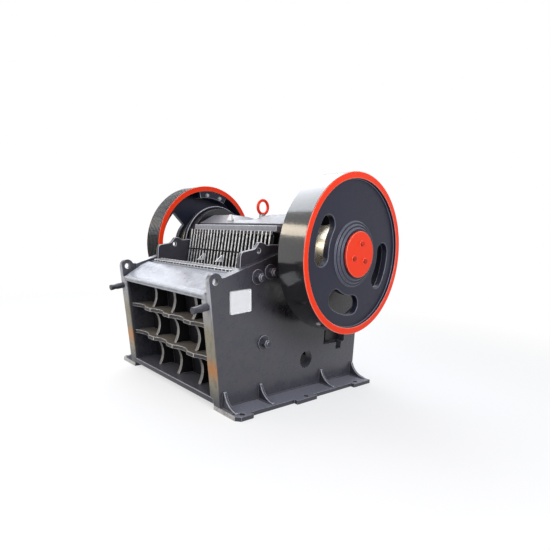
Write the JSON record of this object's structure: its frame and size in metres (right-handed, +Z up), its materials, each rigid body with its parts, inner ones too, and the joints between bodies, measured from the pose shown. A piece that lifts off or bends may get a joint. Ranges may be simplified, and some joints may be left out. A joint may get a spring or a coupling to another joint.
{
  "type": "jaw crusher",
  "caption": "Jaw crusher with a ribbed leaning front frame, toothed fixed and swing jaws, a swing jaw body hung on an eccentric shaft, and flywheels outside its side plates.",
  "frame": {"origin": "centre of the foundation bolt pattern on the base plane", "axes": "+Z up, +X along the eccentric shaft towards the plain flywheel, -Y towards the feed end with the ribbed front"},
  "size_m": [1.946, 1.7809, 1.57],
  "materials": {
    "body_paint": "semi-gloss dark grey paint",
    "wheel_paint": "glossy black paint with red rim edges",
    "red_paint": "glossy red paint",
    "wear_steel": "cast manganese steel, bare",
    "bright_steel": "machined steel"
  },
  "bodies": {
    "frame": {"side_plate_right": "body_paint", "side_plate_left": "body_paint", "foot_right": "body_paint", "foot_left": "body_paint", "gussets_right": "body_paint", "gussets_left": "body_paint", "bearing_housing_right": "body_paint", "bearing_housing_left": "body_paint", "main_bearing_right": "bright_steel", "main_bearing_left": "bright_steel", "bearing_cover_right": "bright_steel", "bearing_cover_left": "bright_steel", "front_wall": "body_paint", "front_shelf": "body_paint", "front_ribs_horizontal": "body_paint", "front_ribs_vertical": "body_paint", "feed_lip_plate": "body_paint", "fixed_jaw_plate": "wear_steel", "cheek_plate_right": "body_paint", "cheek_plate_left": "body_paint", "front_peg_right": "body_paint", "front_peg_left": "body_paint", "cheek_bolts_right": "body_paint", "cheek_bolts_left": "body_paint", "rear_wall": "body_paint", "toggle_beam": "body_paint", "toggle_plate": "body_paint", "toggle_seat": "body_paint", "rear_beam": "body_paint", "tension_rods": "bright_steel", "tension_springs": "bright_steel"},
    "shaft": {"eccentric_shaft": "bright_steel", "flywheel_right": "wheel_paint", "flywheel_left": "wheel_paint", "counterweight_right": "wheel_paint", "counterweight_left": "wheel_paint", "hub_cap_right": "red_paint", "hub_cap_left": "red_paint"},
    "swing_jaw": {"pitman": "body_paint", "pitman_webs": "body_paint", "pitman_bearings": "bright_steel", "jaw_plate_upper": "wear_steel", "jaw_plate_lower": "wear_steel", "jaw_clamp_bar": "body_paint", "eye_bolt": "red_paint"}
  },
  "joints": [
    {"name": "shaft_spin", "type": "hinge", "parent": "frame", "child": "shaft", "pos_m": [0, 0.162, 1.03], "axis": [1, 0, 0], "continuous": true},
    {"name": "swing_jaw_turn", "type": "hinge", "parent": "shaft", "child": "swing_jaw", "pos_m": [0, 0.162, 1.018], "axis": [1, 0, 0], "continuous": true}
  ],
  "couplings": [
    {"joint": "swing_jaw_turn", "follows": "shaft_spin", "ratio": -1}
  ]
}
